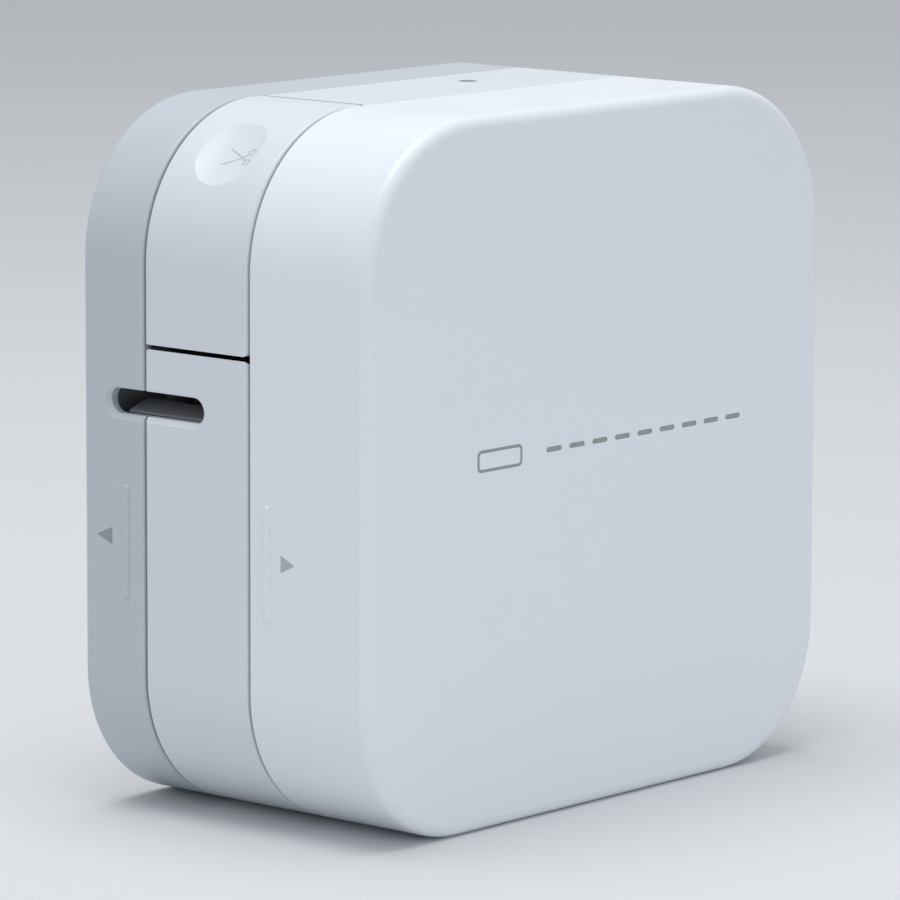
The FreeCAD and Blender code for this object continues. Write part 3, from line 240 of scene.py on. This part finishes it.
def cell_sleeve(name):
    """A dry cell's printed sleeve: a dark body with one metallic band, and bare metal at its ends."""
    n = Nodes(name)
    low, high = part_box("battery_cell_1")
    height = n.add("ShaderNodeSeparateXYZ")
    n.link(n.place, height.inputs[0])
    z = height.outputs["Z"]
    span = high.z - low.z
    edge = 0.005  # of the cell's length, over which one colour gives way to the next

    def change_at(share, below, above):
        return n.spread(z, below, above, low.z + span * share, low.z + span * (share + edge))

    band = change_at(0.72, 0, 1)
    lower_end = change_at(0.035, 1, 0)
    upper_end = change_at(0.955, 0, 1)
    ends = n.add("ShaderNodeMath", operation="MAXIMUM")
    n.link(lower_end, ends.inputs[0])
    n.link(upper_end, ends.inputs[1])
    scratches = n.noise(0.0006, 3.0, 0.6, n.mapped((1, 1, 0.08)))
    sleeve = n.blend(band, (0.045, 0.055, 0.075), (0.55, 0.33, 0.16))
    n.set(Base_Color=n.blend(ends.outputs[0], sleeve, (0.72, 0.72, 0.71)))
    n.set(Metallic=n.spread(ends.outputs[0], 0.25, 1.0, 0, 1))
    n.set(Roughness=n.spread(scratches, 0.2, 0.34))
    n.set(Normal=n.bump(scratches, 0.000004))
    return n.material


def centre_of(node):
    """The middle of a reel, in X and Z."""
    low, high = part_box(node)
    return ((low.x + high.x) / 2, (low.z + high.z) / 2)


CASE_ROUGHNESS = 0.36
CASE_VARIATION = 0.006
MATERIALS = {
    "case_white": moulded("case_white", (0.80, 0.842, 0.90), CASE_ROUGHNESS, variation=CASE_VARIATION),
    "frame_grey": moulded("frame_grey", (0.045, 0.047, 0.052), 0.5),
    "mechanism_black": moulded("mechanism_black", (0.018, 0.018, 0.02), 0.45),
    "cassette_dark": moulded("cassette_dark", (0.035, 0.036, 0.04), 0.38),
    "gear_white": moulded("gear_white", (0.72, 0.70, 0.62), 0.42, variation=0.05),
    "chip_black": moulded("chip_black", (0.02, 0.02, 0.022), 0.5),
    "platen_rubber": moulded("platen_rubber", (0.03, 0.03, 0.032), 0.7, grain=0.0001, depth=0.00001),
    "steel": metal("steel", (0.62, 0.62, 0.63), 0.25, stretch=(1, 0.1, 1)),
    "spring_steel": metal("spring_steel", (0.66, 0.66, 0.68), 0.22),
    "blade_steel": metal("blade_steel", (0.72, 0.73, 0.74), 0.2, stretch=(1, 0.06, 1), size=0.0002),
    "plate_steel": metal("plate_steel", (0.56, 0.57, 0.58), 0.36, stretch=(1, 0.3, 1), size=0.0006),
    "motor_can": metal("motor_can", (0.55, 0.55, 0.57), 0.32, stretch=(1, 0.1, 1), size=0.0005),
    "shield_can": metal("shield_can", (0.68, 0.68, 0.69), 0.34),
    "brass_gear": metal("brass_gear", (0.78, 0.58, 0.26), 0.28),
    "sink_aluminium": metal("sink_aluminium", (0.72, 0.73, 0.74), 0.42, size=0.0003, depth=0.00001),
    "head_ceramic": glossy("head_ceramic", (0.42, 0.36, 0.26), 0.2),
    "label_film": glossy("label_film", (0.86, 0.86, 0.84), 0.16, variation=0.02),
    "light_lens": glossy("light_lens", (0.25, 0.62, 0.32), 0.15),
    "button_dark": glossy("button_dark", (0.022, 0.024, 0.028), 0.2),
    "label_paper": wound("label_paper", (0.80, 0.79, 0.75), centre_of("label_reel"),
                         spacing=0.6 * MM, roughness=0.6),
    "ribbon_film": wound("ribbon_film", (0.02, 0.02, 0.024), centre_of("ribbon_takeup_reel"),
                         spacing=0.5 * MM, roughness=0.2),
    "circuit_board": circuit("circuit_board"),
    "cell_wrap": cell_sleeve("cell_wrap"),
}
# each slice of the case further back is a darker copy of the same white than the slice in front of it
REAR_WHITE = moulded("rear_white", (0.52, 0.572, 0.622), CASE_ROUGHNESS, variation=CASE_VARIATION)
CENTRE_WHITE = moulded("centre_white", (0.695, 0.74, 0.795), CASE_ROUGHNESS, variation=CASE_VARIATION)
GUIDE_GREY = moulded("guide_grey", (0.24, 0.247, 0.26), 0.4)
PRINT_GREY = moulded("print_grey", (0.30, 0.33, 0.34), 0.5, variation=0.04)
PALE_PRINT = moulded("pale_print", (0.44, 0.47, 0.48), 0.5, variation=0.04)
ICON_GREY = moulded("icon_grey", (0.52, 0.55, 0.58), 0.45, variation=0.02)

for node_name, cad_piece in NODES.items():
    cad_piece.data.materials.clear()
    cad_piece.data.materials.append(MATERIALS[SLOT_OF[node_name]])
for node_name, material in (("rear_cover", REAR_WHITE), ("centre_body", CENTRE_WHITE),
                            ("cutter_button", CENTRE_WHITE), ("exit_guide", GUIDE_GREY)):
    NODES[node_name].data.materials[0] = material


# ---- meshes ----

def finish_mesh(name, mesh_data, material, body, smooth=True):
    """Make an object from a bmesh, give it its finish and let it ride on its body."""
    mesh = bpy.data.meshes.new(name)
    bmesh.ops.recalc_face_normals(mesh_data, faces=mesh_data.faces)
    mesh_data.to_mesh(mesh)
    mesh_data.free()
    piece = bpy.data.objects.new(name, mesh)
    bpy.context.scene.collection.objects.link(piece)
    for face in mesh.polygons:
        face.use_smooth = smooth
    mesh.materials.append(material)
    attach(piece, body)
    return piece


def slab(mesh_data, outline, place, thickness):
    """Add a thin flat plate: outline is in the plane, and place turns (u, v, out) into a point."""
    lower = [mesh_data.verts.new(place(u, v, 0)) for u, v in outline]
    upper = [mesh_data.verts.new(place(u, v, thickness)) for u, v in outline]
    count = len(outline)
    mesh_data.faces.new(lower)
    mesh_data.faces.new(upper)
    for index in range(count):
        after = (index + 1) % count
        mesh_data.faces.new((lower[index], lower[after], upper[after], upper[index]))


PRINT = 0.00003  # the thickness of printed ink, half of it inside the surface


def on_side(u, v, out):
    """A point on the narrow side that has the tape slot: u along Y, v up."""
    return Vector((SIDE_FACE - out + PRINT / 2, u, v))


def on_front(u, v, out):
    """A point on the large front face: u along X, v up."""
    return Vector((u, FRONT_FACE - out + PRINT / 2, v))


def pull_mark(name, base_y, tip_y, middle_z, half, body, material):
    """A printed triangle that points the way its cover pulls off."""
    mesh_data = bmesh.new()
    slab(mesh_data, [(base_y, middle_z - half), (tip_y, middle_z), (base_y, middle_z + half)],
         on_side, PRINT)
    return finish_mesh(name, mesh_data, material, body, smooth=False)


pull_mark("rear_pull_mark", base_y=24.2 * MM, tip_y=27.6 * MM, middle_z=45.3 * MM, half=1.45 * MM,
          body="rear_shell", material=PRINT_GREY)
pull_mark("front_pull_mark", base_y=-12.5 * MM, tip_y=-15.5 * MM, middle_z=45.05 * MM, half=1.4 * MM,
          body="front_shell", material=PALE_PRINT)


def rounded(cx, cz, half_width, half_height, radius, steps=6):
    """The points of a rounded rectangle, in order."""
    points = []
    for number, (sx, sz) in enumerate(((1, -1), (1, 1), (-1, 1), (-1, -1))):
        centre_x = cx + sx * (half_width - radius)
        centre_z = cz + sz * (half_height - radius)
        for step in range(steps + 1):
            angle = math.radians(-90 + 90 * number + 90 * step / steps)
            points.append((centre_x + radius * math.cos(angle), centre_z + radius * math.sin(angle)))
    return points


def outline_band(mesh_data, outer, inner, place, thickness):
    """A flat ring between two outlines with the same number of points."""
    rings = [[mesh_data.verts.new(place(u, v, out)) for u, v in outline]
             for outline, out in ((outer, 0), (inner, 0), (inner, thickness), (outer, thickness))]
    count = len(outer)
    for first, second in ((0, 1), (1, 2), (2, 3), (3, 0)):
        for index in range(count):
            after = (index + 1) % count
            mesh_data.faces.new((rings[first][index], rings[first][after],
                                 rings[second][after], rings[second][index]))


def front_mark():
    """A plain printed mark on the front face: a blank label and a row of dashes."""
    level = 60.0 * MM
    mesh_data = bmesh.new()

    label_centre = -25.5 * MM
    half_width = 5.5 * MM
    half_height = 1.8 * MM
    line = 0.5 * MM
    outer = rounded(label_centre, level, half_width, half_height, 0.9 * MM)
    inner = rounded(label_centre, level, half_width - line, half_height - line, 0.5 * MM)
    outline_band(mesh_data, outer, inner, on_front, PRINT)

    first = -15.0 * MM
    last = 37.0 * MM
    dashes = 9
    dash_half_width = 1.9 * MM
    dash_half_height = 0.42 * MM
    dash_corner = 0.41 * MM
    pitch = (last - first) / dashes
    for number in range(dashes):
        middle = first + pitch * (number + 0.5)
        slab(mesh_data, rounded(middle, level, dash_half_width, dash_half_height, dash_corner),
             on_front, PRINT)
    return finish_mesh("front_printed_mark", mesh_data, PRINT_GREY, "front_shell",
                       smooth=False)


front_mark()


# ---- the scissors sign in the button's dish ----

CORNER_CENTRE = Vector((SIDE_FACE + CORNER_RADIUS, 0, CASE_TOP - CORNER_RADIUS))
button_mesh = NODES["cutter_button"].data
button_tree = BVHTree.FromPolygons([v.co.copy() for v in button_mesh.vertices],
                                   [tuple(p.vertices) for p in button_mesh.polygons])
SIGN_ANGLE = math.radians(46.8)  # round the corner, up from level
SIGN_Y = (CENTRE_LOW.y + CENTRE_HIGH.y) / 2


def on_dish(across, along, out):
    """A point on the button's surface: across runs toward +Y, along up the corner's curve."""
    angle = SIGN_ANGLE + along / CORNER_RADIUS
    outward = Vector((-math.cos(angle), 0, math.sin(angle)))
    start = CORNER_CENTRE + outward * (CORNER_RADIUS + 5 * MM)
    start.y = SIGN_Y + across
    hit = button_tree.ray_cast(start, -outward)[0]
    return hit + outward * (out + PRINT / 3)


def stroke(mesh_data, points, width):
    """A thin line laid over the dish through points given as (across, along)."""
    longest_step = 0.3 * MM
    fine = []
    for (a0, b0), (a1, b1) in zip(points[:-1], points[1:]):
        steps = max(1, round(math.hypot(a1 - a0, b1 - b0) / longest_step))
        fine += [(a0 + (a1 - a0) * k / steps, b0 + (b1 - b0) * k / steps) for k in range(steps)]
    fine.append(points[-1])
    left_edge = []
    right_edge = []
    for index, (across, along) in enumerate(fine):
        before = fine[max(index - 1, 0)]
        after = fine[min(index + 1, len(fine) - 1)]
        direction = Vector((after[0] - before[0], after[1] - before[1])).normalized()
        side = Vector((-direction.y, direction.x)) * (width / 2)
        left_edge.append((across + side.x, along + side.y))
        right_edge.append((across - side.x, along - side.y))
    rows = [[mesh_data.verts.new(on_dish(a, b, out)) for a, b in edge]
            for edge, out in ((left_edge, 0), (left_edge, PRINT), (right_edge, PRINT), (right_edge, 0))]
    for first, second in ((0, 1), (1, 2), (2, 3), (3, 0)):
        for index in range(len(fine) - 1):
            mesh_data.faces.new((rows[first][index], rows[first][index + 1],
                                 rows[second][index + 1], rows[second][index]))
    for index in (0, len(fine) - 1):
        mesh_data.faces.new([row[index] for row in rows])


def scissors():
    """Open scissors: two blades that cross at a pivot, and a ring at the end of each handle."""
    mesh_data = bmesh.new()
    pivot = (-2.3 * MM, 0)
    width = 0.24 * MM
    ring_half_length = 0.75 * MM
    ring_half_width = 0.55 * MM
    ring_points = 20
    for sign in (1, -1):
        tip = (1.3 * MM, sign * 1.8 * MM)
        heel = (-3.2 * MM, -sign * 0.6 * MM)
        stroke(mesh_data, [tip, pivot, heel], width)
        ring_centre = (-3.9 * MM, -sign * 1.1 * MM)
        ring = [(ring_centre[0] + ring_half_length * math.cos(math.tau * k / ring_points),
                 ring_centre[1] + ring_half_width * math.sin(math.tau * k / ring_points))
                for k in range(ring_points + 1)]
        stroke(mesh_data, ring, width)
    return finish_mesh("cutter_sign", mesh_data, ICON_GREY, "cutter_key", smooth=False)


scissors()


# ---- the return spring ----

def return_spring():
    """A wound wire with closed ends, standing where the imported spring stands."""
    low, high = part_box("button_spring")
    wire = 0.3 * MM
    radius = 2.0 * MM
    centre = Vector(((low.x + high.x) / 2, (low.y + high.y) / 2, 0))
    base = low.z + wire
    rise = high.z - low.z - 2 * wire
    turns = 8
    per_turn = 28
    sides = 8
    end_share = 0.1  # of the rise, which even the flat turns climb
    mesh_data = bmesh.new()
    rows = []
    total = turns * per_turn
    for step in range(total + 1):
        share = step / total
        # the first and last turn lie flat
        climb = min(max((share * turns - 1) / (turns - 2), 0), 1)
        angle = math.tau * turns * share
        lift = base + rise * climb * (1 - end_share) + rise * end_share * share
        outward = Vector((math.cos(angle), math.sin(angle), 0))
        middle = centre + outward * radius + Vector((0, 0, lift))
        row = []
        for k in range(sides):
            turn = math.tau * k / sides
            across = outward * math.cos(turn) + Vector((0, 0, math.sin(turn)))
            row.append(mesh_data.verts.new(middle + across * wire))
        rows.append(row)
    for first, second in zip(rows[:-1], rows[1:]):
        for k in range(sides):
            after = (k + 1) % sides
            mesh_data.faces.new((first[k], first[after], second[after], second[k]))
    mesh_data.faces.new(rows[0])
    mesh_data.faces.new(rows[-1])
    spring = finish_mesh("return_spring", mesh_data, MATERIALS["spring_steel"], "frame")
    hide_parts("button_spring")
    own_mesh(spring)


return_spring()


# ---- stage, light and camera ----

def floor():
    """A wide sheet of pale paper that the object stands on."""
    n = Nodes("floor_paper")
    n.set(Base_Color=n.blend(n.noise(0.4, 2.0), (0.68, 0.69, 0.70), (0.71, 0.72, 0.73)))
    n.set(Roughness=0.85)
    n.set(Normal=n.bump(n.noise(0.002, 2.0), 0.00002))
    mesh_data = bmesh.new()
    bmesh.ops.create_grid(mesh_data, x_segments=1, y_segments=1, size=20)
    mesh = bpy.data.meshes.new("floor")
    mesh_data.to_mesh(mesh)
    mesh_data.free()
    mesh.materials.append(n.material)
    plane = bpy.data.objects.new("floor", mesh)
    bpy.context.scene.collection.objects.link(plane)


def area_light(name, place, target, size, power):
    """A soft round lamp, turned toward its target."""
    data = bpy.data.lights.new(name, "AREA")
    data.shape = "DISK"
    data.size = size
    data.energy = power
    lamp = bpy.data.objects.new(name, data)
    bpy.context.scene.collection.objects.link(lamp)
    lamp.location = place
    lamp.rotation_euler = (Vector(target) - Vector(place)).to_track_quat("-Z", "Y").to_euler()


def world():
    """An even, slightly cool light from all round."""
    surround = bpy.data.worlds.new("surround")
    surround.use_nodes = True
    background = surround.node_tree.nodes["Background"]
    background.inputs["Color"].default_value = (0.93, 0.96, 1.0, 1)
    background.inputs["Strength"].default_value = 0.60
    bpy.context.scene.world = surround


def camera():
    """A long lens, a metre away, to the left of the front face and a little above it."""
    azimuth = math.radians(-49.174)
    elevation = math.radians(9.123)
    roll = math.radians(0.203)
    distance = 1012.03 * MM
    back = Vector((math.sin(azimuth) * math.cos(elevation), -math.cos(azimuth) * math.cos(elevation),
                   math.sin(elevation)))
    level = Vector((math.cos(azimuth), math.sin(azimuth), 0))
    upright = back.cross(level)
    right = level * math.cos(roll) + upright * math.sin(roll)
    up = upright * math.cos(roll) - level * math.sin(roll)
    shift_right = -1.553 * MM
    shift_up = -2.42 * MM
    aim = CASE_MIDDLE + right * shift_right + up * shift_up
    data = bpy.data.cameras.new("camera")
    data.sensor_width = 36.0
    data.lens = 244.9
    data.clip_start = 0.05
    data.clip_end = 60
    viewer = bpy.data.objects.new("camera", data)
    bpy.context.scene.collection.objects.link(viewer)
    turn = Matrix((right, up, back)).transposed().to_4x4()
    viewer.matrix_world = Matrix.Translation(aim + back * distance) @ turn
    bpy.context.scene.camera = viewer


floor()
world()
LIGHT_TARGET = (0, 0, 0.06)
area_light("overhead", place=(-0.12, 0.05, 1.1), target=LIGHT_TARGET, size=0.9, power=7.0)
area_light("front_fill", place=(-0.35, -1.3, 0.35), target=LIGHT_TARGET, size=0.9, power=1.6)
camera()
bpy.context.scene.view_settings.view_transform = "Standard"
